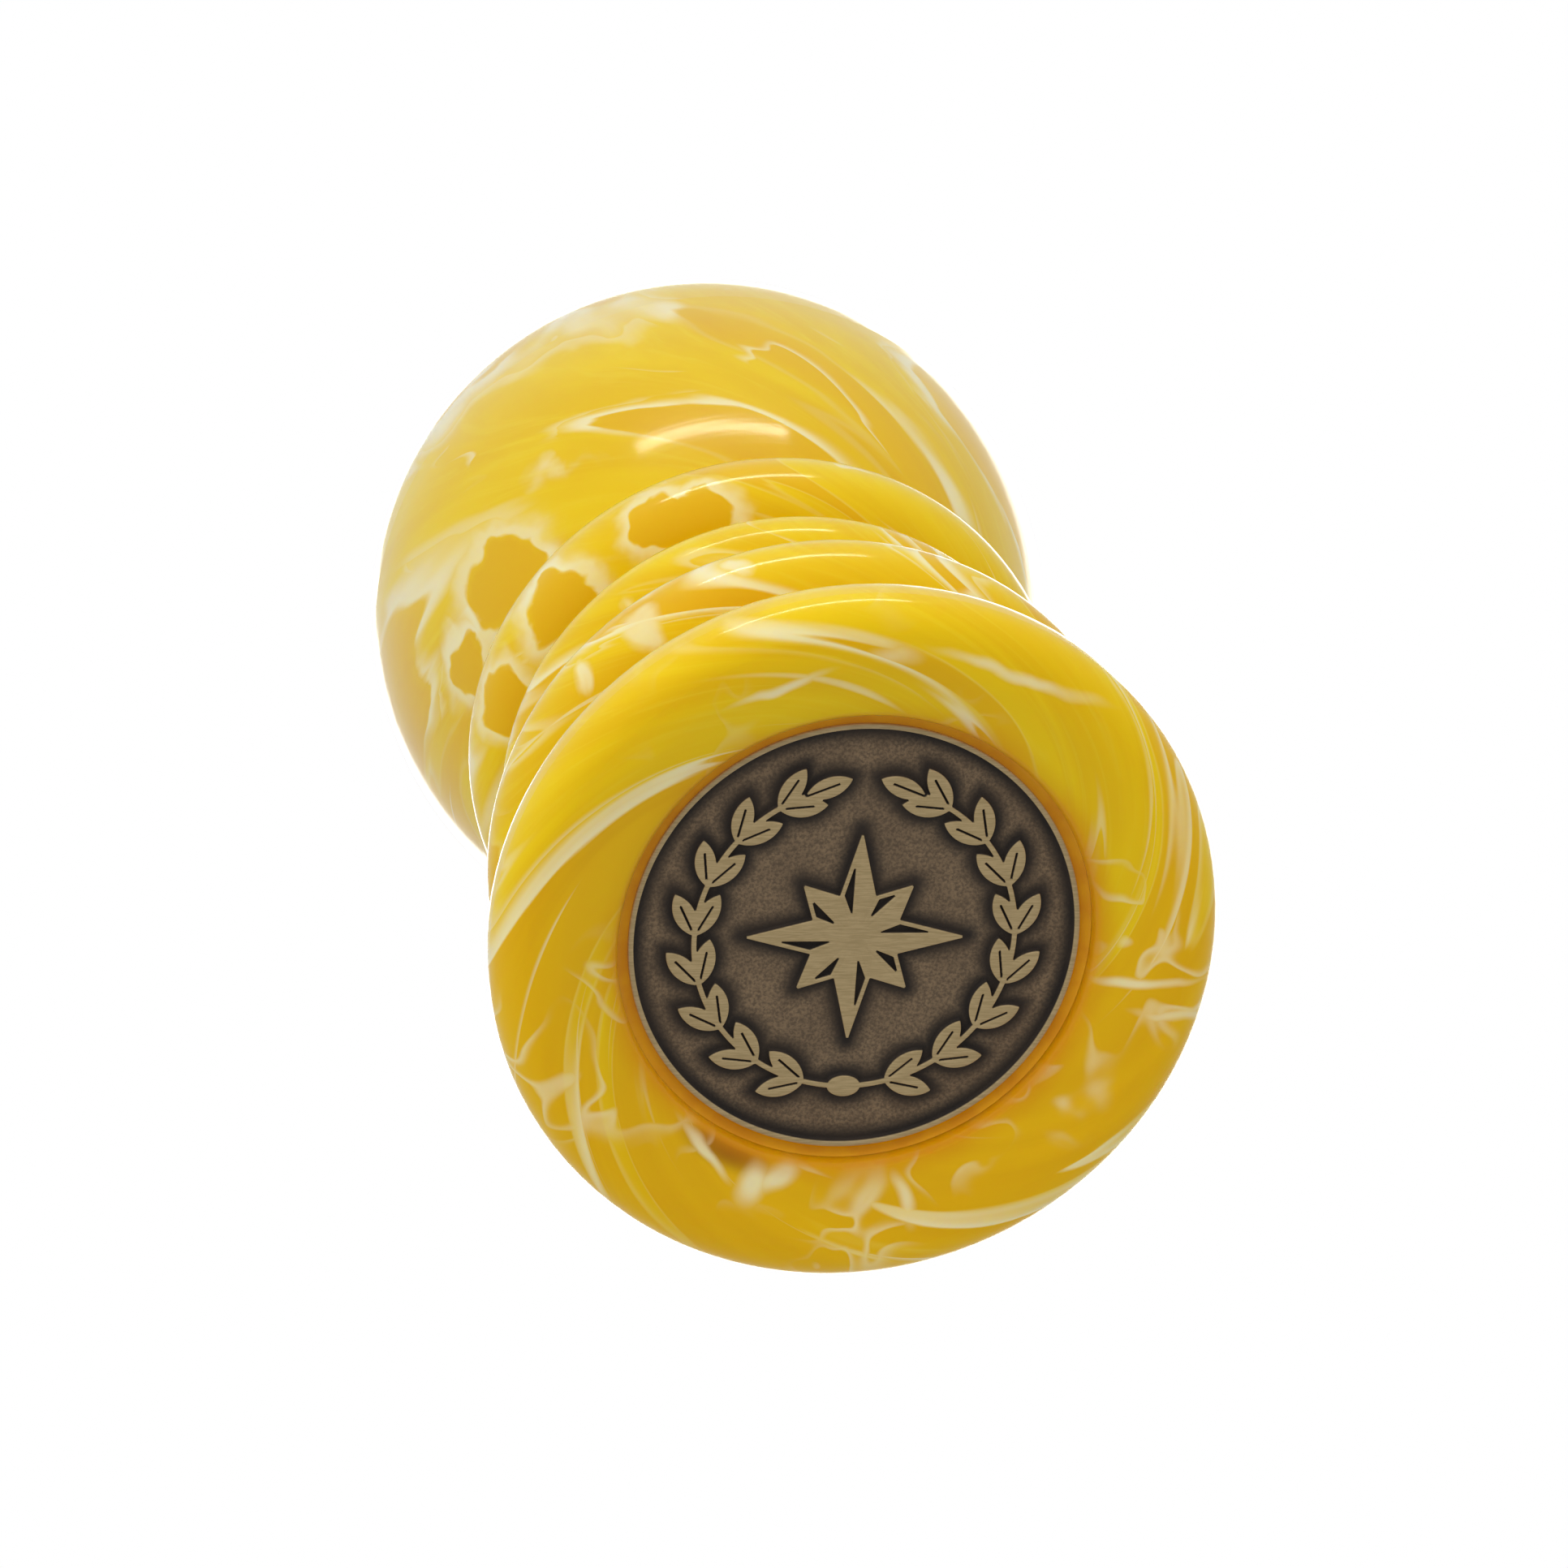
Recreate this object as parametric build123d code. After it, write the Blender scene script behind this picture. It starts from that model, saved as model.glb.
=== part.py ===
"""Shaving brush handle: turned from one marbled resin blank, with a brass medallion glued into its foot.

Millimetres, +Z up. The handle stands on its foot: the origin is the centre of the resting face, and
+Z runs up the axis to the socket that a hair knot is glued into. The medallion faces down, and the
top of its design points to -Y.
"""
from build123d import *
from math import atan2, cos, degrees, hypot, pi, radians, sin, sqrt
import os

# Turned beads, each a round with its centre at (radius, height) and the size of the round.
FOOT = (13.12, 1.75, 3.00)
LOWER_BEAD = (12.90, 10.80, 2.00)
WAIST_BEAD = (11.40, 18.65, 1.80)
COLLAR_BEAD = (11.56, 24.40, 2.40)
COVE_RADII = (2.20, 2.40, 0.90, 1.30)  # the hollow above each of those beads, bottom to top

# Bulb: a long arc below its widest point and a rounder one above it.
BULB_R = 16.30
BULB_HEIGHT = 41.55
BULB_LOWER_ARC = 22.0
BULB_UPPER_ARC = 16.30
TOP_HEIGHT = 50.20
TOP_EDGE_R = 0.80

# Knot socket, bored from the top with a Forstner bit.
SOCKET_D = 24.0
SOCKET_DEPTH = 13.0
SOCKET_MOUTH_R = 0.60
SOCKET_CORNER_R = 0.40
BIT_POINT_D = 3.0
BIT_POINT_DEPTH = 0.90

# Foot: a narrow flat land to stand on, then a shallow dish that leads in to the recess.
FOOT_CORNER_R = 1.50
LAND_WIDTH = 1.00
LAND_INNER_R = 4.00
LIP_HEIGHT = 0.80
LIP_R = 0.45

# Medallion, its recess, and the epoxy round and behind it.
MEDALLION_D = 20.0
MEDALLION_THICKNESS = 2.0
MEDALLION_FACE = 1.40
MEDALLION_EDGE_R = 0.06
RECESS_D = 21.0
RECESS_CORNER_R = 0.30
EPOXY_BED = 0.20
EPOXY_AT_WALL = 0.05
EPOXY_AT_MEDALLION = 0.15
EPOXY_DIP = 0.08
RECESS_FLOOR = MEDALLION_FACE + MEDALLION_THICKNESS + EPOXY_BED

# Medallion design: a compass star inside a laurel wreath, struck with flat tops.
RIM_WIDTH = 0.25
FIELD_DEPTH = 0.28
RELIEF_HEIGHT = 0.24
STAR_POINTS = 8
STAR_LONG = 5.00
STAR_SHORT = 3.50
STAR_WAIST = 2.10
STAR_LINE = 0.20
STAR_BOSS_D = 1.40
WREATH_R = 7.10
WREATH_STEM = 0.24
WREATH_START = radians(-84)
WREATH_END = radians(68)
LEAF_PAIRS = 8
FIRST_LEAF = 0.45  # how far up its share of the branch each pair of leaves grows
LEAF_LENGTH = 2.20
LEAF_WIDTH = 0.95
LEAF_SPLAY = 27.0
RIB_WIDTH = 0.09
RIB_LENGTH = 1.60
TIE_SIZE = (1.50, 1.00)


def on_circle(circle, angle):
    """The point of a (radius, height, round) circle at an angle from straight outward, in radians."""
    r, z, size = circle
    return (r + size * cos(angle), z + size * sin(angle))


def direction(circle, point):
    """The angle from a circle's centre to a point."""
    return atan2(point[1] - circle[1], point[0] - circle[0])


def arc(circle, start, end):
    """The arc of a circle between two angles, as an edge in the radius-height plane."""
    middle = (start + end) / 2
    return ThreePointArc(on_circle(circle, start), on_circle(circle, middle), on_circle(circle, end))


def cove_between(below, above, cove_r):
    """The hollow of radius cove_r that rolls smoothly off one bead and on to the next."""
    reach_below = below[2] + cove_r
    reach_above = above[2] + cove_r
    gap = hypot(above[0] - below[0], above[1] - below[1])
    along = (reach_below**2 - reach_above**2 + gap**2) / (2 * gap)
    out = sqrt(reach_below**2 - along**2)
    run_r = (above[0] - below[0]) / gap
    run_z = (above[1] - below[1]) / gap
    return (below[0] + along * run_r + out * run_z, below[1] + along * run_z - out * run_r, cove_r)


def foot_corner():
    """The round between the foot's side and its land, tangent to both."""
    r, z, size = FOOT
    drop = z - FOOT_CORNER_R
    reach = size - FOOT_CORNER_R
    return (r + sqrt(reach**2 - drop**2), FOOT_CORNER_R, FOOT_CORNER_R)


def top_edge():
    """The round between the bulb and the flat rim at the top, tangent to both."""
    z = TOP_HEIGHT - TOP_EDGE_R
    reach = BULB_UPPER_ARC - TOP_EDGE_R
    r = BULB_R - BULB_UPPER_ARC + sqrt(reach**2 - (z - BULB_HEIGHT) ** 2)
    return (r, z, TOP_EDGE_R)


def side_edges():
    """The outside of the handle, from the foot's land up to the rim: bead, cove, bead, and the bulb."""
    lower_bulb = (BULB_R - BULB_LOWER_ARC, BULB_HEIGHT, BULB_LOWER_ARC)
    upper_bulb = (BULB_R - BULB_UPPER_ARC, BULB_HEIGHT, BULB_UPPER_ARC)
    rounds = [FOOT, LOWER_BEAD, WAIST_BEAD, COLLAR_BEAD, lower_bulb]
    corner = foot_corner()
    arrive = direction(FOOT, corner)
    edges = [arc(corner, -pi / 2, arrive)]
    for bead, above, cove_r in zip(rounds, rounds[1:], COVE_RADII):
        cove = cove_between(bead, above, cove_r)
        leave = direction(bead, cove)
        edges.append(arc(bead, arrive, leave))
        arrive = direction(above, cove)
        edges.append(arc(cove, leave + pi, arrive + pi))
    edges.append(arc(lower_bulb, arrive, 0))
    rim = top_edge()
    turn = direction(upper_bulb, rim)
    edges.append(arc(upper_bulb, 0, turn))
    edges.append(arc(rim, turn, pi / 2))
    return edges


def socket_edges():
    """The rim, the socket's wall and floor, and the cone that the bit's point leaves in the middle."""
    r = SOCKET_D / 2
    floor = TOP_HEIGHT - SOCKET_DEPTH
    bore = FilletPolyline(
        (top_edge()[0], TOP_HEIGHT),
        (r, TOP_HEIGHT),
        (r, floor),
        (BIT_POINT_D / 2, floor),
        radius=(SOCKET_MOUTH_R, SOCKET_CORNER_R),
    )
    return [*bore.edges(), Line((BIT_POINT_D / 2, floor), (0, floor - BIT_POINT_DEPTH))]


def base_edges():
    """The recess for the medallion, the cone round it and the land, from the axis outward."""
    r = RECESS_D / 2
    land_end = foot_corner()[0]
    base = FilletPolyline(
        (0, RECESS_FLOOR),
        (r, RECESS_FLOOR),
        (r, LIP_HEIGHT),
        (land_end - LAND_WIDTH, 0),
        (land_end, 0),
        radius=(RECESS_CORNER_R, LIP_R, LAND_INNER_R),
    )
    return base.edges()


def turned(edges):
    """Revolves a closed outline in the radius-height plane about the axis."""
    section = Plane.XZ * make_face(edges)
    return revolve(section, Axis.Z)


def make_handle():
    """The whole resin turning: foot, beads, coves and bulb, with the recess below and socket above."""
    floor = TOP_HEIGHT - SOCKET_DEPTH - BIT_POINT_DEPTH
    axis = Line((0, floor), (0, RECESS_FLOOR))
    return turned([*base_edges(), *side_edges(), *socket_edges(), axis])


def medallion_blank():
    """The coin with its raised rim and sunk field, before the design is struck."""
    r = MEDALLION_D / 2
    back = MEDALLION_FACE + MEDALLION_THICKNESS
    field = MEDALLION_FACE + FIELD_DEPTH
    outline = FilletPolyline(
        (0, back),
        (r, back),
        (r, MEDALLION_FACE),
        (r - RIM_WIDTH, MEDALLION_FACE),
        (r - RIM_WIDTH, field),
        (0, field),
        radius=(MEDALLION_EDGE_R, MEDALLION_EDGE_R, MEDALLION_EDGE_R, MEDALLION_EDGE_R),
    )
    return turned([*outline.edges(), Line((0, field), (0, back))])


def star_point(reach):
    """One star point, up from the centre: its right half raised whole, its left half as an outline."""
    half_turn = pi / STAR_POINTS
    waist_x = STAR_WAIST * sin(half_turn)
    waist_y = STAR_WAIST * cos(half_turn)
    solid = make_face(Polyline((0, 0), (waist_x, waist_y), (0, reach), close=True))
    facet = make_face(Polyline((0, 0), (0, reach), (-waist_x, waist_y), close=True))
    return [solid, facet - offset(facet, -STAR_LINE, kind=Kind.INTERSECTION)]


def star():
    """The compass star: long points on the even turns, short ones between, and a round boss."""
    turn = 360 / STAR_POINTS
    shapes = [Circle(STAR_BOSS_D / 2)]
    for i in range(STAR_POINTS):
        reach = STAR_SHORT if i % 2 else STAR_LONG
        shapes += [Rot(Z=i * turn) * half for half in star_point(reach)]
    return shapes


def leaf():
    """A laurel leaf from its stalk at the origin to its tip on +X: two equal arcs, with a cut rib."""
    middle = LEAF_LENGTH / 2
    half = LEAF_WIDTH / 2
    tip = (LEAF_LENGTH, 0)
    blade = make_face(
        [ThreePointArc((0, 0), (middle, -half), tip), ThreePointArc(tip, (middle, half), (0, 0))]
    )
    return blade - Rectangle(2 * RIB_LENGTH, RIB_WIDTH)


def stem():
    """The stem of a branch: a curved strip of even width."""
    inner = (0, 0, WREATH_R - WREATH_STEM / 2)
    outer = (0, 0, WREATH_R + WREATH_STEM / 2)
    return make_face(
        [
            arc(outer, WREATH_START, WREATH_END),
            Line(on_circle(outer, WREATH_END), on_circle(inner, WREATH_END)),
            arc(inner, WREATH_END, WREATH_START),
            Line(on_circle(inner, WREATH_START), on_circle(outer, WREATH_START)),
        ]
    )


def leaf_on_branch(turn, lean):
    """A leaf whose stalk is on the stem at an angle round the coin, leaning off the stem's line."""
    x, y = on_circle((0, 0, WREATH_R), turn)
    return Pos(x, y) * Rot(Z=degrees(turn) + 90 + lean) * leaf()


def branch():
    """The right-hand laurel branch: a stem up from the tie, leaves in pairs, and a leaf at the tip."""
    shapes = [stem(), leaf_on_branch(WREATH_END, 0)]
    step = (WREATH_END - WREATH_START) / LEAF_PAIRS
    for i in range(LEAF_PAIRS):
        turn = WREATH_START + (i + FIRST_LEAF) * step
        shapes.append(leaf_on_branch(turn, -LEAF_SPLAY))
        shapes.append(leaf_on_branch(turn, LEAF_SPLAY))
    return shapes


def wreath():
    """Both branches and the oval tie that binds them at the bottom."""
    right = branch()
    left = [mirror(shape, Plane.YZ) for shape in right]
    tie = Pos(0, -WREATH_R) * Ellipse(TIE_SIZE[0] / 2, TIE_SIZE[1] / 2)
    return [*right, *left, tie]


def make_medallion():
    """The struck medallion. Its design lies on the field and faces down, with its top to -Y."""
    field = MEDALLION_FACE + FIELD_DEPTH
    face = Plane(origin=(0, 0, field), x_dir=(1, 0, 0), z_dir=(0, 0, -1))
    raised = [extrude(face * shape, RELIEF_HEIGHT) for shape in [*star(), *wreath()]]
    return medallion_blank().fuse(*raised)


def make_adhesive():
    """Epoxy: a bed behind the medallion and a ring that fills the gap round it to a dished surface."""
    wall = RECESS_D / 2
    edge = MEDALLION_D / 2
    back = MEDALLION_FACE + MEDALLION_THICKNESS
    at_wall = MEDALLION_FACE + EPOXY_AT_WALL
    at_edge = MEDALLION_FACE + EPOXY_AT_MEDALLION
    middle = ((wall + edge) / 2, (at_wall + at_edge) / 2 + EPOXY_DIP)
    cup = FilletPolyline(
        (0, RECESS_FLOOR), (wall, RECESS_FLOOR), (wall, at_wall), radius=RECESS_CORNER_R
    )
    seat = FilletPolyline((edge, at_edge), (edge, back), (0, back), radius=MEDALLION_EDGE_R)
    surface = ThreePointArc((wall, at_wall), middle, (edge, at_edge))
    return turned([*cup.edges(), surface, *seat.edges(), Line((0, back), (0, RECESS_FLOOR))])


def main():
    """Builds each piece and writes it to its own file."""
    os.makedirs("parts", exist_ok=True)
    pieces = {
        "handle": make_handle(),
        "medallion": make_medallion(),
        "medallion_adhesive": make_adhesive(),
    }
    for name, piece in pieces.items():
        export_step(piece, f"parts/{name}.step")


main()
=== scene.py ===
"""Shaving brush handle in Blender: marbled resin, a struck brass medallion and its amber glue.

The handle and the glue are the CAD pieces with better materials. The medallion is modelled here, as
a fine height map of the same design, because its worn edges and its patina follow the relief.
"""
import math

import bmesh
import bpy
import numpy as np
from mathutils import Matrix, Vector, geometry


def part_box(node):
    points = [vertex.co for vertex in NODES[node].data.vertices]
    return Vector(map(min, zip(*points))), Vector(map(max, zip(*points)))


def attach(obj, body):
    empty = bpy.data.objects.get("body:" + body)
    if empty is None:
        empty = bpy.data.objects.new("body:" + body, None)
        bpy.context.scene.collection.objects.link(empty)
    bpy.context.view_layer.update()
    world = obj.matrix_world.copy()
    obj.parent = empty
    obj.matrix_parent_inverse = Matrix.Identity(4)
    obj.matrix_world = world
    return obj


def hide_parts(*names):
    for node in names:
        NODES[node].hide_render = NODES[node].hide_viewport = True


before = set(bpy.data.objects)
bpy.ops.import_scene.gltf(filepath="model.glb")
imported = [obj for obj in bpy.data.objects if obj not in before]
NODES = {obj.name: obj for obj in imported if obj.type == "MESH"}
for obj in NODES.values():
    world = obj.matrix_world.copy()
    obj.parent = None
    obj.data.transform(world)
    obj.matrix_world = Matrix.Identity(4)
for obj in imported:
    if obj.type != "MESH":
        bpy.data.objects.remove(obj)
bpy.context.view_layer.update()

MM = 0.001


def rgb(red, green, blue):
    """A colour given as it looks on screen, 0 to 255, as linear values."""
    def linear(c):
        c /= 255
        return c / 12.92 if c <= 0.04045 else ((c + 0.055) / 1.055) ** 2.4
    return (linear(red), linear(green), linear(blue), 1.0)


# The camera looks up at the foot from below the bench: place in metres, turn in degrees.
CAMERA_PLACE = (-0.05822, -0.11591, -0.26921)
CAMERA_TURN = (157.774, 9.825, -3.989)
LENS = 158.3
SENSOR_WIDTH = 36.0
NEAREST_SEEN = 0.01
# The room's light, away from the window and towards it, and its reflection, below and above.
ROOM_LIGHT = (0.54, 0.82)
ROOM_GLOSS = (0.10, 0.75)
WINDOW_SIDE = (-0.6, -0.7, 0.3)
BACKDROP_LIGHT = 1.0
LIT_POINT = (0, 0, 0.025)  # the middle of the handle
FLOOR_REACH = 3.0
FLOOR_FADE = (60.0, 420.0)  # millimetres from the middle at which it runs into the backdrop
FLOOR_TONES = ((0.86, 0.86, 0.85, 1), (0.9, 0.9, 0.89, 1))

# Medallion design, in millimetres, as it is struck: x to the right and y up when seen face on.
RIM_WIDTH = 0.25
FIELD_DEPTH = 0.28
RELIEF_HEIGHT = 0.24
STAR_POINTS = 8
STAR_LONG = 5.00
STAR_SHORT = 3.50
STAR_WAIST = 2.10
STAR_LINE = 0.20
STAR_BOSS_R = 0.70
WREATH_R = 7.10
WREATH_STEM = 0.24
WREATH_START = math.radians(-84)
WREATH_END = math.radians(68)
LEAF_PAIRS = 8
FIRST_LEAF = 0.45  # how far up its share of the branch each pair of leaves grows
LEAF_LENGTH = 2.20
LEAF_WIDTH = 0.95
LEAF_SPLAY = math.radians(27)
RIB_WIDTH = 0.09
RIB_LENGTH = 1.60
TIE_SIZE = (0.75, 0.50)

# How the struck walls fall: distance out from a shape's outline, and share of the full depth there.
WALL_PROFILE = ((-0.05, 0.0), (-0.02, 0.06), (0.03, 0.92), (0.08, 1.0))
# How the coin's edge is rounded: distance in from the edge, and depth there.
EDGE_PROFILE = ((0.06, 0.0), (0.03, 0.008), (0.008, 0.03), (0.0, 0.06))
EDGE_POINTS = 720
GRID_STEP = 0.04  # the grid that the outlines are traced on
FILL_STEP = 0.16  # the scatter of points between them
SAME_POINT = 1e-6  # corners closer than this become one
ALMOST_LEVEL = 1e-12  # stands in for the rise of a level side, which divides

PATINA = (rgb(118, 100, 79), rgb(162, 137, 106))
PATINA_AT_WALLS = rgb(54, 48, 44)
PATINA_STAIN = rgb(88, 72, 57)
BRIGHT_BRASS = (rgb(190, 166, 119), rgb(212, 187, 139))
BRUSH_TURN = math.radians(28)
BRUSH_STRETCH = (1.0, 16.0, 1.0)

# How the resin was stirred: radians round the axis, at it and for each millimetre out and up.
STIR_START = 3.14
STIR_OUT = 0.19
STIR_UP = 0.022
# The pattern's scale across the axis is 1 at DRAWN_AT millimetres from it and grows inwards by a
# power, as far as the core, which draws the colours out along the radius. Up the axis it is fixed.
DRAWN_AT = 13.0
DRAWN_POWER = 0.65
DRAWN_CORE = 5.0
DRAWN_HEIGHT = 0.6

# Levels of the noise at which colours meet, and how a placed pocket peaks and falls off in it.
FOLD_LEVEL = 0.505
POCKET_EDGE = (0.655, 0.660)
POCKET_OUTLINE = 0.652
POCKET_PEAK = 0.715
POCKET_FALL = 0.06

# Heights between which the marbling changes, in millimetres, and the same down the face as seen,
# over which painted shade makes the marbling more gold.
TO_BULB = (22.0, 36.0)
ONTO_BEADS = (2.0, 8.0)
OFF_BEADS = (26.0, 34.0)
OFF_FOOT = (3.0, 12.0)
# The painted shade round the recess fades out between these heights.
OUT_OF_RECESS = (2.0, 4.5)
SHADE_DOWN_THE_FACE = (-15.0, 15.0)

# Marks in the resin of the foot, placed after the photograph: angle round it in degrees, radius,
# slant off the radial line, length and width.
CREAM_STROKES = (
    (236, 11.4, 69, 5.2, 0.7),
    (255, 11.5, -42, 3.8, 1.5),
    (250, 12.2, 0, 2.8, 1.8),
    (353, 12.9, 3, 6.4, 0.7),
    (347, 14.4, 3, 4.8, 0.8),
    (283, 12.6, 8, 3.2, 0.9),
    (110, 12.8, 92, 6.0, 0.8),
    (87, 13.8, 92, 3.4, 1.5),
    (66, 14.0, 94, 11.0, 0.9),
)
# Painted shade in the resin beside the coin's lower left, as a stroke of the same kind.
SHADE_BY_COIN_STROKE = (242, 10.9, 90, 6.0, 2.4)
STROKE_HEIGHT = 0.8
# Pockets of amber resin on the collar bead and low on the bulb, placed after the photograph: x, y,
# z and size. The last two overlap and make one pocket.
POCKETS = (
    (-11.9, -5.7, 30.3, 2.5),
    (-10.6, -7.5, 22.3, 1.9),
    (-12.7, -2.9, 22.5, 1.5),
    (-13.2, -1.4, 30.5, 1.6),
    (-6.0, -11.6, 22.4, 1.5),
    (-4.0, -11.9, 22.2, 1.4),
)
OTHER_POCKETS = (0.0, 0.0, 40.0)  # picks the part of the noise that the other pockets come from
# Cream flecks on the beads: x, y, z and size. The first two are placed after the photograph.
FLECKS = (
    (-8.9, -11.5, 9.5, 1.1),
    (-4.8, -13.9, 10.0, 0.9),
    (-11.3, -9.0, 9.5, 0.9),
    (-8.5, -9.8, 17.0, 0.8),
    (0.8, -13.2, 16.5, 1.0),
    (5.5, -12.8, 9.0, 0.9),
)

LEMON = (rgb(234, 195, 0), rgb(239, 206, 4))
LEMON_FIBRE = rgb(242, 217, 50)
GOLD = (rgb(229, 182, 0), rgb(234, 190, 0))
AMBER = rgb(231, 186, 0)
# Painted shade beside the coin's lower left.
SHADE_BY_COIN = rgb(160, 104, 6)
CREAM = rgb(244, 233, 186)
# Painted shade: the resin darker and more orange round the recess and at its lip.
SHADED = rgb(216, 142, 0)
SHADED_LIP = rgb(222, 148, 0)
EPOXY = (rgb(220, 146, 0), rgb(228, 160, 0))


# ---------------------------------------------------------------- node graphs

class Graph:
    """A material's node tree, with short calls for the nodes that the materials here use."""

    def __init__(self, name):
        self.material = bpy.data.materials.new(name)
        self.material.use_nodes = True
        self.tree = self.material.node_tree
        self.tree.nodes.clear()

    def add(self, kind, inputs=None, **settings):
        node = self.tree.nodes.new(kind)
        for key, value in settings.items():
            setattr(node, key, value)
        for key, value in (inputs or {}).items():
            self.feed(node.inputs[key], value)
        return node

    def feed(self, socket, value):
        if isinstance(value, bpy.types.NodeSocket):
            self.tree.links.new(value, socket)
        else:
            socket.default_value = value

    def math(self, operation, a, b=0.0, c=0.0):
        return self.add("ShaderNodeMath", {0: a, 1: b, 2: c}, operation=operation).outputs[0]

    def vector(self, operation, a, b=(0, 0, 0), scale=None):
        node = self.add("ShaderNodeVectorMath", {0: a, 1: b}, operation=operation)
        if scale is not None:
            self.feed(node.inputs["Scale"], scale)
        return node.outputs[0]

    def turned(self, where, angle):
        """The point as seen once the axes are turned about Z."""
        inputs = {"Vector": where, "Angle": angle}
        return self.add("ShaderNodeVectorRotate", inputs, rotation_type="Z_AXIS").outputs[0]

    def measure(self, operation, a, b=(0, 0, 0)):
        """A length or a distance."""
        node = self.add("ShaderNodeVectorMath", {0: a, 1: b}, operation=operation)
        return node.outputs["Value"]

    def highest(self, *values):
        best = values[0]
        for value in values[1:]:
            best = self.math("MAXIMUM", best, value)
        return best

    def noise(self, where, scale, detail=2.0, roughness=0.5, output="Fac"):
        inputs = {"Vector": where, "Scale": scale, "Detail": detail, "Roughness": roughness}
        return self.add("ShaderNodeTexNoise", inputs).outputs[output]

    def product(self, *values):
        total = values[0]
        for value in values[1:]:
            total = self.math("MULTIPLY", total, value)
        return total

    def step(self, value, low, high, out_low=0.0, out_high=1.0):
        """A smooth rise from out_low to out_high as value goes from low to high."""
        inputs = {"Value": value, "From Min": low, "From Max": high}
        inputs.update({"To Min": out_low, "To Max": out_high})
        return self.add("ShaderNodeMapRange", inputs, interpolation_type="SMOOTHSTEP").outputs[0]

    def widened_step(self, value, low, high, by):
        """A step whose two ends are moved apart."""
        return self.step(value, self.math("SUBTRACT", low, by), self.math("ADD", high, by))

    def mix(self, share, a, b):
        """Two colours mixed. A Mix node keeps its colours in sockets 6, 7 and 2."""
        node = self.add("ShaderNodeMix", data_type="RGBA")
        self.feed(node.inputs[0], share)
        self.feed(node.inputs[6], a)
        self.feed(node.inputs[7], b)
        return node.outputs[2]

    def place_mm(self):
        """The point on the object, in millimetres."""
        where = self.add("ShaderNodeTexCoord").outputs["Object"]
        return self.vector("SCALE", where, scale=1000.0)

    def bump(self, height, distance, strength=1.0, normal=None):
        inputs = {"Height": height, "Distance": distance, "Strength": strength}
        if normal is not None:
            inputs["Normal"] = normal
        return self.add("ShaderNodeBump", inputs).outputs[0]

    def surface(self, **sockets):
        """Ends the graph with a Principled shader; keys are its socket names with _ for spaces."""
        inputs = {key.replace("_", " "): value for key, value in sockets.items()}
        shader = self.add("ShaderNodeBsdfPrincipled", inputs)
        self.add("ShaderNodeOutputMaterial", {0: shader.outputs[0]})
        return self.material


# ---------------------------------------------------------------- resin

def shifted(g, where, scale, reach, detail=1.5):
    """The points moved about by up to roughly half of reach, by noise of the given scale."""
    noise = g.noise(where, scale, detail, output="Color")
    push = g.vector("SCALE", g.vector("SUBTRACT", noise, (0.5, 0.5, 0.5)), scale=reach)
    return g.vector("ADD", where, push)


def vein(g, field, level, width, swell):
    """A milky line where field passes level: crisp above it, and soft below it where swell is 1."""
    soft = g.product(width, g.math("MULTIPLY_ADD", swell, 1.8, 0.35))
    below = g.step(field, g.math("SUBTRACT", level, soft), level)
    above = g.step(field, level, g.math("MULTIPLY_ADD", width, 0.25, level), 1.0, 0.0)
    return g.product(g.math("POWER", below, 2.0), above)


def stroke(g, where, turn, radius, slant, length, width):
    """A long blot on the foot with soft ends. The angle runs from +x towards -y."""
    turn = math.radians(turn)
    centre = (radius * math.cos(turn), -radius * math.sin(turn), STROKE_HEIGHT)
    away = g.vector("SUBTRACT", where, centre)
    along = g.turned(away, turn + math.radians(slant))
    scaled = g.vector("MULTIPLY", along, (2 / length, 2 / width, 0.5))
    return g.step(g.measure("LENGTH", scaled), 0.2, 1.0, 0.95, 0.0)


def before_stirring(g, p, height, radius):
    """Where each point was before the resin was drawn out along the radius and wound round."""
    out = g.math("MULTIPLY_ADD", radius, STIR_OUT, STIR_START)
    twist = g.math("ADD", out, g.product(height, STIR_UP))
    from_axis = g.math("MAXIMUM", radius, DRAWN_CORE)
    draw = g.math("POWER", g.math("DIVIDE", DRAWN_AT, from_axis), DRAWN_POWER)
    scale = g.add("ShaderNodeCombineXYZ", {0: draw, 1: draw, 2: DRAWN_HEIGHT}).outputs[0]
    return g.vector("MULTIPLY", g.turned(p, twist), scale)


def fold_field(g, folded, xyz):
    """Noise that is below FOLD_LEVEL in the lemon resin and above it in the gold.

    There is more lemon on the beads, and more gold towards the bottom of the face, which is painted
    shade on the side turned from the light.
    """
    # Painted shade: more of the darker gold towards the bottom of the face, away from the light.
    painted_shade_below = g.step(xyz[1], *SHADE_DOWN_THE_FACE, -0.05, 0.090)
    beads = g.product(g.step(xyz[2], *ONTO_BEADS), g.step(xyz[2], *OFF_BEADS, 0.045, 0.0))
    fold = g.math("ADD", g.noise(folded, scale=0.115, roughness=0.40), painted_shade_below)
    return g.math("SUBTRACT", fold, beads)


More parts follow.
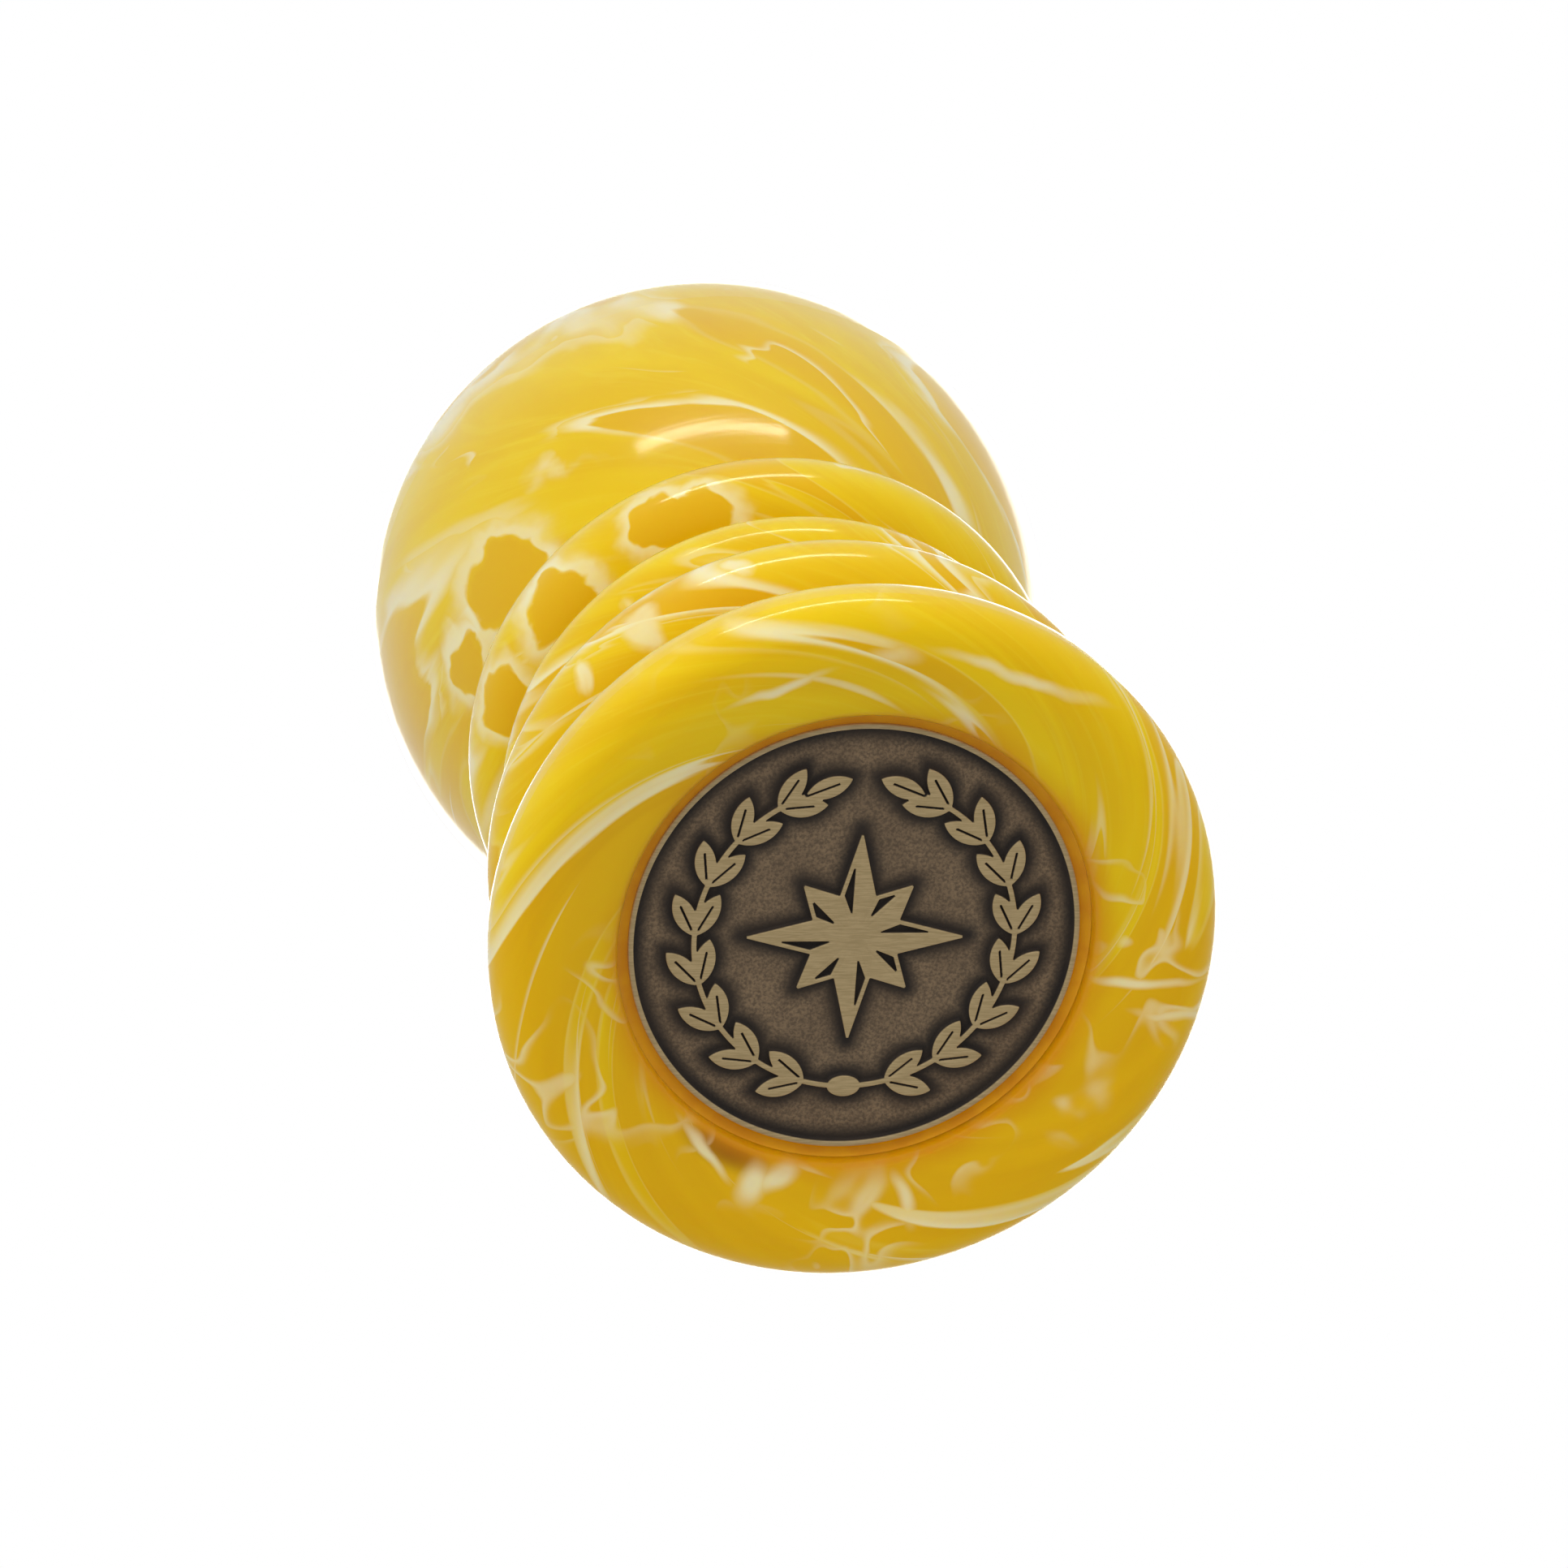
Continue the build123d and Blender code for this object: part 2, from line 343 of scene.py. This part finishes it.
def cream_veins(g, p, xyz, spiral, fold, wisp_swell):
    """Cream along the folds, fainter echoes and wisps of it, and curled threads on the foot."""
    swell = g.step(g.noise(spiral, scale=0.17), 0.40, 0.66)
    width = g.step(xyz[2], *TO_BULB, 0.045, 0.065)
    main_vein = vein(g, fold, level=0.50, width=width, swell=swell)
    main_vein = g.product(main_vein, g.step(swell, 0.1, 0.7, 0.12, 0.95))
    echo = vein(g, fold, level=0.43, width=0.020, swell=swell)
    echo = g.product(echo, g.step(swell, 0.2, 0.9, 0.0, 0.45))

    drawn = g.noise(shifted(g, spiral, scale=0.13, reach=6.0), scale=0.20, roughness=0.40)
    wisps = vein(g, drawn, level=0.53, width=0.034, swell=wisp_swell)
    wisps = g.product(wisps, g.step(wisp_swell, 0.0, 0.7, 0.0, 0.7))

    # The threads come in patches on the foot, and leave its upper right quarter plain.
    patches = g.step(g.noise(p, scale=0.11, detail=1.0), 0.47, 0.62)
    on_foot = g.step(xyz[2], *ONTO_BEADS, 0.60, 0.0)
    off_plain = g.step(g.math("SUBTRACT", xyz[0], xyz[1]), 13.0, 17.0, 1.0, 0.0)
    curled = g.noise(shifted(g, p, scale=0.20, reach=5.5, detail=1.0), scale=0.30, detail=1.0)
    threads = vein(g, curled, level=0.50, width=0.11, swell=0.3)
    threads = g.product(threads, g.product(patches, on_foot, off_plain))
    return g.highest(main_vein, echo, wisps, threads)


def pocket_field(g, ragged, height):
    """A value that is high in the pockets of amber: peaks for the placed ones, noise for the rest.

    The noise is lowered, most of all on the foot, so that only a few pockets come from it.
    """
    field = g.noise(g.vector("ADD", ragged, OTHER_POCKETS), scale=0.13, detail=0.0)
    field = g.math("SUBTRACT", field, g.step(height, *OFF_FOOT, 0.30, 0.20))
    peaks = []
    for x, y, z, size in POCKETS:
        away = g.measure("DISTANCE", ragged, (x, y, z))
        peaks.append(g.math("MULTIPLY_ADD", away, -POCKET_FALL / size, POCKET_PEAK))
    return g.highest(field, *peaks)


def placed_cream(g, p, ragged):
    """The cream strokes on the foot and the flecks on the beads."""
    bent = shifted(g, shifted(g, p, scale=0.15, reach=1.6), scale=0.40, reach=1.0)
    marks = [stroke(g, bent, *mark) for mark in CREAM_STROKES]
    for x, y, z, size in FLECKS:
        away = g.measure("DISTANCE", ragged, (x, y, z))
        marks.append(g.step(away, 0.2 * size, size, 0.9, 0.0))
    return g.highest(*marks)


def painted_recess_shade(g, p, height, radius, colour):
    """The colour with painted shade: darker and more orange round the recess, and most at its lip.
    """
    in_foot = g.step(height, *OUT_OF_RECESS, 1.0, 0.0)
    near = g.product(g.step(radius, 10.3, 11.8, 1.0, 0.0), in_foot)
    uneven = g.step(g.noise(p, scale=0.12, detail=1.0), 0.35, 0.65, 0.3, 0.85)
    colour = g.mix(g.product(near, uneven), colour, SHADED)
    lip = g.product(g.step(radius, 10.5, 10.95, 0.85, 0.0), in_foot)
    return g.mix(lip, colour, SHADED_LIP)


def marbled_resin():
    """Cast resin stirred before it set: gold folded into lemon, with cream along the folds.

    The marbling is one solid pattern in millimetres that runs through the piece. It is crisp at the
    foot and softer on the bulb, which is out of focus in the photograph.
    """
    g = Graph("marbled_resin")
    p = g.place_mm()
    xyz = g.add("ShaderNodeSeparateXYZ", {0: p}).outputs
    height = xyz[2]
    squares = g.math("ADD", g.math("POWER", xyz[0], 2.0), g.math("POWER", xyz[1], 2.0))
    radius = g.math("SQRT", squares)
    spiral = before_stirring(g, p, height, radius)
    folded = shifted(g, shifted(g, spiral, scale=0.07, reach=13.0), scale=0.20, reach=3.0)
    folded = shifted(g, folded, scale=0.55, reach=1.0)
    ragged = shifted(g, p, scale=0.40, reach=1.7, detail=1.0)
    ragged = shifted(g, ragged, scale=0.9, reach=1.1)

    # Where each colour lies.
    fold = fold_field(g, folded, xyz)
    blur = g.step(height, *TO_BULB, 0.010, 0.045)
    gilded = g.widened_step(fold, FOLD_LEVEL, FOLD_LEVEL, blur)
    pockets = pocket_field(g, ragged, height)
    pocket = g.widened_step(pockets, *POCKET_EDGE, g.product(blur, 0.25))
    wisp_swell = g.step(g.noise(spiral, scale=0.24), 0.50, 0.70)
    outline = vein(g, pockets, POCKET_OUTLINE, width=0.028, swell=0.8)
    outline = g.product(outline, g.step(wisp_swell, 0.0, 0.7, 0.75, 1.0))
    veins = cream_veins(g, p, xyz, spiral, fold, wisp_swell)
    veins = g.product(veins, g.math("SUBTRACT", 1.0, pocket))
    milk = g.highest(veins, outline, placed_cream(g, p, ragged))

    cloud = g.noise(folded, scale=0.25, detail=3.0)
    streaks = g.vector("MULTIPLY", folded, (2.6, 2.6, 0.5))
    fibres = g.noise(streaks, scale=0.5, detail=3.0, roughness=0.6)
    lemon = g.mix(g.step(cloud, 0.35, 0.65), *LEMON)
    lemon = g.mix(g.step(fibres, 0.50, 0.75, 0.0, 0.35), lemon, LEMON_FIBRE)
    gold = g.mix(g.step(cloud, 0.3, 0.7), *GOLD)
    colour = g.mix(gilded, lemon, gold)
    colour = g.mix(pocket, colour, AMBER)
    # Painted shade: a dark stroke in the resin beside the coin's lower left, where the recess
    # shades it.
    colour = g.mix(stroke(g, p, *SHADE_BY_COIN_STROKE), colour, SHADE_BY_COIN)
    colour = g.mix(milk, colour, CREAM)
    # Painted shade round the recess and at its lip.
    colour = painted_recess_shade(g, p, height, radius, colour)

    # Faint lines left by the lathe, which run round the piece.
    profile = g.add("ShaderNodeCombineXYZ", {0: radius, 1: height}).outputs[0]
    normal = g.bump(g.noise(profile, scale=3.2, roughness=0.6), 0.000004)
    return g.surface(
        Base_Color=colour, Roughness=0.35, Normal=normal, IOR=1.25,
        Subsurface_Weight=1.0, Subsurface_Radius=(1.0, 0.85, 0.3), Subsurface_Scale=0.0019,
        Coat_Weight=1.0, Coat_Roughness=0.11, Coat_IOR=1.33, Coat_Normal=normal,
    )


def amber_epoxy():
    """Cured epoxy in the thin gap round the medallion, stained amber by the resin behind it."""
    g = Graph("amber_epoxy")
    p = g.place_mm()
    cloud = g.noise(p, scale=0.6, detail=3.0)
    colour = g.mix(g.step(cloud, 0.35, 0.65), *EPOXY)
    normal = g.bump(g.noise(p, scale=1.6), 0.00004, 0.6)
    return g.surface(
        Base_Color=colour, Roughness=0.3, IOR=1.25, Normal=normal,
        Coat_Weight=1.0, Coat_Roughness=0.05, Coat_IOR=1.33,
    )


# ---------------------------------------------------------------- medallion

def polygon_distance(x, y, corners):
    """Signed distance from each point to a polygon, negative inside."""
    best = np.full(x.shape, np.inf)
    inside = np.zeros(x.shape, bool)
    for (ax, ay), (bx, by) in zip(corners, corners[1:] + corners[:1]):
        ex, ey = bx - ax, by - ay
        wx, wy = x - ax, y - ay
        t = np.clip((wx * ex + wy * ey) / (ex * ex + ey * ey), 0, 1)
        best = np.minimum(best, np.hypot(wx - t * ex, wy - t * ey))
        crosses = (ay > y) != (by > y)
        with np.errstate(divide="ignore", invalid="ignore"):
            side = x < ex * (y - ay) / (ey or ALMOST_LEVEL) + ax
        inside ^= crosses & side
    return np.where(inside, -best, best)


def turned_to(x, y, angle):
    """The points as seen from axes turned by angle."""
    c, s = math.cos(angle), math.sin(angle)
    return c * x + s * y, c * y - s * x


def star_distance(x, y):
    """Compass star: the right half of each point is solid, the left half is an outline."""
    half_turn = math.pi / STAR_POINTS
    waist_x, waist_y = STAR_WAIST * math.sin(half_turn), STAR_WAIST * math.cos(half_turn)
    best = np.hypot(x, y) - STAR_BOSS_R
    for i in range(STAR_POINTS):
        reach = STAR_SHORT if i % 2 else STAR_LONG
        u, v = turned_to(x, y, i * 2 * half_turn)
        solid = polygon_distance(u, v, [(0, 0), (0, reach), (waist_x, waist_y)])
        open_half = polygon_distance(u, v, [(0, 0), (-waist_x, waist_y), (0, reach)])
        outline = np.maximum(open_half, -STAR_LINE - open_half)
        best = np.minimum(best, np.minimum(solid, outline))
    return best


def leaf_distance(x, y):
    """Laurel leaf from the origin to its tip on +x: two circles' overlap, with a cut rib."""
    half_length, half_width = LEAF_LENGTH / 2, LEAF_WIDTH / 2
    radius = (half_length**2 + half_width**2) / LEAF_WIDTH
    drop = radius - half_width
    across = x - half_length
    lens = np.maximum(np.hypot(across, y - drop), np.hypot(across, y + drop)) - radius
    rib = np.maximum(np.abs(y) - RIB_WIDTH / 2, x - RIB_LENGTH)
    return np.maximum(lens, -rib)


def wreath_distance(x, y):
    """Two laurel branches that rise from an oval tie at the bottom."""
    x = np.abs(x)
    radius, turn = np.hypot(x, y), np.arctan2(y, x)
    off_stem = np.abs(radius - WREATH_R) - WREATH_STEM / 2
    best = np.maximum(off_stem, WREATH_R * (turn - WREATH_END))
    step = (WREATH_END - WREATH_START) / LEAF_PAIRS
    for i in range(LEAF_PAIRS + 1):
        at = WREATH_START + (i + FIRST_LEAF) * step if i < LEAF_PAIRS else WREATH_END
        leans = (-LEAF_SPLAY, LEAF_SPLAY) if i < LEAF_PAIRS else (0.0,)
        root_x, root_y = WREATH_R * math.cos(at), WREATH_R * math.sin(at)
        for lean in leans:
            u, v = turned_to(x - root_x, y - root_y, at + math.pi / 2 + lean)
            best = np.minimum(best, leaf_distance(u, v))
    tie = (np.hypot(x / TIE_SIZE[0], (y + WREATH_R) / TIE_SIZE[1]) - 1) * TIE_SIZE[1]
    return np.minimum(best, tie)


def raised_distance(x, y, radius):
    """Signed distance from the nearest raised shape, the rim among them, negative on its top."""
    rim = radius - RIM_WIDTH - np.hypot(x, y)
    return np.minimum(np.minimum(star_distance(x, y), wreath_distance(x, y)), rim)


def contour(field, level, axis):
    """Where a grid of values crosses a level: the points, and the pairs of them that join up."""
    over = field > level
    points, number = [], {}
    for flat, (di, dj) in enumerate(((0, 1), (1, 0))):
        here = over[: over.shape[0] - di, : over.shape[1] - dj]
        for i, j in np.argwhere(here != over[di:, dj:]).tolist():
            share = (level - field[i, j]) / (field[i + di, j + dj] - field[i, j])
            number[flat, i, j] = len(points)
            points.append((axis[j] + share * dj * GRID_STEP, axis[i] + share * di * GRID_STEP))
    pairs = []
    mixed = over[:-1, :-1] + 0 + over[1:, :-1] + over[:-1, 1:] + over[1:, 1:]
    for i, j in np.argwhere((mixed > 0) & (mixed < 4)).tolist():
        around = ((0, i, j), (1, i, j + 1), (0, i + 1, j), (1, i, j))
        met = [number[key] for key in around if key in number]
        # Two lines cross this square. Its mean says which two of its corners they cut off.
        if len(met) == 4 and over[i, j] != (field[i : i + 2, j : j + 2].mean() > level):
            met = met[1:] + met[:1]
        pairs += [tuple(met[k : k + 2]) for k in range(0, len(met), 2)]
    return points, pairs


def medallion_plan(radius):
    """The struck face as flat triangles, and at each corner its distance from the nearest wall.

    Lines run round every shape at the wall's shoulders and feet, so the walls are as crisp as
    struck ones, with rings at the coin's edge and an even scatter of points everywhere else.
    """
    axis = np.arange(-radius, radius + GRID_STEP, GRID_STEP)
    x, y = np.meshgrid(axis, axis)
    design = raised_distance(x, y, radius)
    points, pairs, known = [], [], []
    for level, _ in WALL_PROFILE:
        line, joins = contour(design, level, axis)
        pairs += [(a + len(points), b + len(points)) for a, b in joins]
        points += line
        known += [level] * len(line)
    turns = np.arange(EDGE_POINTS) * 2 * math.pi / EDGE_POINTS
    for inset, _ in EDGE_PROFILE:
        start = len(points)
        ring = [((radius - inset) * math.cos(t), (radius - inset) * math.sin(t)) for t in turns]
        pairs += [(start + k, start + (k + 1) % EDGE_POINTS) for k in range(EDGE_POINTS)]
        points += ring
        known += [None] * len(ring)
    spread = np.arange(-radius, radius, FILL_STEP)
    fx, fy = np.meshgrid(spread, spread)
    fx = fx + (np.arange(len(spread)) % 2)[:, None] * FILL_STEP / 2
    fd = raised_distance(fx, fy, radius)
    low, high = WALL_PROFILE[0][0], WALL_PROFILE[-1][0]
    off_walls = (fd < low - FILL_STEP / 2) | (fd > high + FILL_STEP / 2)
    clear = off_walls & (np.hypot(fx, fy) < radius - RIM_WIDTH / 2)
    points += np.stack([fx[clear], fy[clear]], -1).tolist()
    known += [None] * int(clear.sum())
    made = geometry.delaunay_2d_cdt([Vector(p) for p in points], pairs, [], 0, SAME_POINT, True)
    flat = np.array([tuple(v) for v in made[0]])
    distance = raised_distance(flat[:, 0], flat[:, 1], radius)
    # Corners on a traced line take its exact level.
    for i, sources in enumerate(made[3]):
        if sources and known[sources[0]] is not None:
            distance[i] = known[sources[0]]
    return flat, made[2], distance


def build_medallion():
    """The struck coin: its face by the plan above, then the side wall and the back."""
    low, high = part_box("medallion")
    radius, face_z, back_z = (high.x - low.x) / 2 / MM, low.z / MM, high.z / MM
    flat, faces, distance = medallion_plan(radius)
    from_edge = radius - np.hypot(flat[:, 0], flat[:, 1])
    top = np.where(from_edge < RIM_WIDTH * 1.5, 0.0, FIELD_DEPTH - RELIEF_HEIGHT)
    levels, falls = zip(*WALL_PROFILE)
    depth = top + (FIELD_DEPTH - top) * np.interp(distance, levels, falls)
    insets, rounds = zip(*EDGE_PROFILE[::-1])
    depth += np.interp(from_edge, insets, rounds)

    points = np.stack([flat[:, 0], -flat[:, 1], face_z + depth], -1)
    rim = np.argsort(from_edge)[:EDGE_POINTS]
    rim = rim[np.argsort(np.arctan2(points[rim, 1], points[rim, 0]))]
    back = points[rim].copy()
    back[:, 2] = back_z
    first = len(points)
    faces = [tuple(face) for face in faces]
    for k in range(EDGE_POINTS):
        after = (k + 1) % EDGE_POINTS
        faces.append((int(rim[k]), int(rim[after]), first + after, first + k))
    faces.append(tuple(range(first, first + EDGE_POINTS)))
    mesh = bpy.data.meshes.new("struck_medallion")
    mesh.from_pydata((np.vstack([points, back]) * MM).tolist(), [], faces)
    raised = 1 - np.interp(distance, levels, falls)
    for name, values in (("raised", raised), ("wall", np.abs(distance))):
        values = np.concatenate([values, np.ones(EDGE_POINTS)]).astype(np.float32)
        mesh.attributes.new(name, "FLOAT", "POINT").data.foreach_set("value", values)
    shape = bmesh.new()
    shape.from_mesh(mesh)
    bmesh.ops.recalc_face_normals(shape, faces=shape.faces)
    for face in shape.faces:
        face.smooth = len(face.verts) < EDGE_POINTS  # all but the back
    shape.to_mesh(mesh)
    shape.free()
    piece = bpy.data.objects.new("struck_medallion", mesh)
    bpy.context.scene.collection.objects.link(piece)
    return piece


def antique_brass():
    """Brass with a dark patina in the field, darkest by the relief, and brushed bright tops."""
    g = Graph("antique_brass")
    p = g.place_mm()
    raised = g.add("ShaderNodeAttribute", attribute_name="raised").outputs["Fac"]
    wall = g.add("ShaderNodeAttribute", attribute_name="wall").outputs["Fac"]
    grain = g.noise(p, scale=7.0, detail=4.0, roughness=0.7)
    cloud = g.noise(p, scale=0.5)
    brown = g.mix(g.step(grain, 0.36, 0.66), *PATINA)
    field = g.mix(g.step(wall, 0.05, 0.95), PATINA_AT_WALLS, brown)
    field = g.mix(g.step(cloud, 0.35, 0.65, 0.0, 0.25), field, PATINA_STAIN)

    across = {"Vector": p, "Rotation": (0, 0, BRUSH_TURN), "Scale": BRUSH_STRETCH}
    across = g.add("ShaderNodeMapping", across).outputs[0]
    brushed = g.noise(across, scale=1.1, detail=4.0, roughness=0.65)
    bright = g.mix(g.step(brushed, 0.35, 0.65), *BRIGHT_BRASS)
    colour = g.mix(g.step(raised, 0.55, 0.95), field, bright)
    top = g.step(raised, 0.6, 0.95)
    stipple = g.product(grain, g.math("SUBTRACT", 1.0, top))
    normal = g.bump(stipple, 0.00006, 0.8)
    normal = g.bump(g.product(brushed, top), 0.000008, 0.8, normal)
    return g.surface(
        Base_Color=colour, Metallic=0.42,
        Roughness=g.step(top, 0.0, 1.0, 0.58, 0.40), Normal=normal,
    )


# ---------------------------------------------------------------- stage

def pale_floor():
    """A pale floor that only shows from above, and runs into the white backdrop further off."""
    g = Graph("pale_floor")
    p = g.place_mm()
    tone = g.mix(g.noise(p, scale=0.02, detail=3.0), *FLOOR_TONES)
    diffuse = g.add("ShaderNodeBsdfDiffuse", {"Color": tone}).outputs[0]
    lit = g.add("ShaderNodeEmission", {"Strength": BACKDROP_LIGHT}).outputs[0]
    far = g.step(g.measure("LENGTH", p), *FLOOR_FADE)
    sweep = g.add("ShaderNodeMixShader", {0: far, 1: diffuse, 2: lit}).outputs[0]
    clear = g.add("ShaderNodeBsdfTransparent").outputs[0]
    under = g.add("ShaderNodeNewGeometry").outputs["Backfacing"]
    both = g.add("ShaderNodeMixShader", {0: under, 1: sweep, 2: clear}).outputs[0]
    g.add("ShaderNodeOutputMaterial", {0: both})
    return g.material


def make_stage():
    """The floor that the handle stands on. The camera sees it, and it lights and shades nothing."""
    far = FLOOR_REACH
    corners = [(-far, -far, 0), (far, -far, 0), (far, far, 0), (-far, far, 0)]
    mesh = bpy.data.meshes.new("floor")
    mesh.from_pydata(corners, [], [(0, 1, 2, 3)])
    floor = bpy.data.objects.new("floor", mesh)
    bpy.context.scene.collection.objects.link(floor)
    floor.data.materials.append(pale_floor())
    floor.visible_diffuse = False
    floor.visible_glossy = False
    floor.visible_transmission = False
    floor.visible_shadow = False


def area_light(name, direction, distance, size, power, colour=(1, 1, 1)):
    """A soft rectangular light that shines at the middle of the handle from a direction."""
    back = Vector(direction).normalized()
    data = bpy.data.lights.new(name, "AREA")
    data.shape = "RECTANGLE"
    data.size, data.size_y = size
    data.energy = power
    data.color = colour
    light = bpy.data.objects.new(name, data)
    light.location = Vector(LIT_POINT) + back * distance
    light.rotation_mode = "QUATERNION"
    light.rotation_quaternion = back.to_track_quat("Z", "Y")
    light.visible_camera = False
    bpy.context.scene.collection.objects.link(light)
    return light


def studio_world():
    """A white backdrop to the camera, and a pale room to all that it lights.

    The room's light is brighter on the window's side. Its reflection is dark towards the camera,
    which is below.
    """
    world = bpy.data.worlds.new("studio")
    world.use_nodes = True
    tree = world.node_tree
    background = tree.nodes["Background"]
    background.inputs["Color"].default_value = (1.0, 1.0, 1.0, 1)

    def graded(side, levels):
        """A strength that runs from the first level to the second as the view turns to a side."""
        towards = tree.nodes.new("ShaderNodeVectorMath")
        towards.operation = "DOT_PRODUCT"
        towards.inputs[1].default_value = Vector(side).normalized()
        tree.links.new(tree.nodes.new("ShaderNodeTexCoord").outputs["Generated"], towards.inputs[0])
        room = tree.nodes.new("ShaderNodeMapRange")
        room.inputs["From Min"].default_value = -1.0
        room.inputs["To Min"].default_value, room.inputs["To Max"].default_value = levels
        tree.links.new(towards.outputs["Value"], room.inputs["Value"])
        return room.outputs[0]

    path = tree.nodes.new("ShaderNodeLightPath")
    glossy = tree.nodes.new("ShaderNodeMix")
    tree.links.new(path.outputs["Is Glossy Ray"], glossy.inputs["Factor"])
    tree.links.new(graded(WINDOW_SIDE, ROOM_LIGHT), glossy.inputs["A"])
    tree.links.new(graded((0, 0, 1), ROOM_GLOSS), glossy.inputs["B"])
    seen = tree.nodes.new("ShaderNodeMix")
    tree.links.new(path.outputs["Is Camera Ray"], seen.inputs["Factor"])
    tree.links.new(glossy.outputs["Result"], seen.inputs["A"])
    seen.inputs["B"].default_value = BACKDROP_LIGHT
    tree.links.new(seen.outputs["Result"], background.inputs["Strength"])
    bpy.context.scene.world = world


def soft_sun(name, direction, spread, strength):
    """A broad distant light, which lights the whole floor evenly."""
    data = bpy.data.lights.new(name, "SUN")
    data.angle = math.radians(spread)
    data.energy = strength
    light = bpy.data.objects.new(name, data)
    light.rotation_mode = "QUATERNION"
    light.rotation_quaternion = Vector(direction).to_track_quat("Z", "Y")
    bpy.context.scene.collection.objects.link(light)


def make_lights():
    """The room, a window that lights the resin, a strip that only reflects, and a soft overhead."""
    studio_world()
    window = area_light(
        "window", direction=(-0.25, -0.93, -0.50), distance=0.14, size=(0.14, 0.07), power=0.055
    )
    window.visible_glossy = False
    strip = area_light(
        "strip", direction=(-0.07, -0.97, 0.205), distance=0.6, size=(0.45, 0.03), power=1.0,
        colour=(0.92, 1.0, 0.76),
    )
    strip.visible_diffuse = False
    soft_sun("overhead", direction=(0.35, 0.55, 1.0), spread=55, strength=1.3)


def make_camera():
    """The camera at the photograph's viewing angle."""
    data = bpy.data.cameras.new("camera")
    data.lens = LENS
    data.sensor_width = SENSOR_WIDTH
    data.clip_start = NEAREST_SEEN
    camera = bpy.data.objects.new("camera", data)
    camera.location = CAMERA_PLACE
    camera.rotation_euler = [math.radians(turn) for turn in CAMERA_TURN]
    bpy.context.scene.collection.objects.link(camera)
    bpy.context.scene.camera = camera


def main():
    NODES["handle"].material_slots[0].material = marbled_resin()
    NODES["medallion_adhesive"].material_slots[0].material = amber_epoxy()
    medallion = build_medallion()
    medallion.data.materials.append(antique_brass())
    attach(medallion, "root")
    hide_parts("medallion")
    make_stage()
    make_lights()
    make_camera()
    bpy.context.scene.view_settings.view_transform = "Standard"


main()
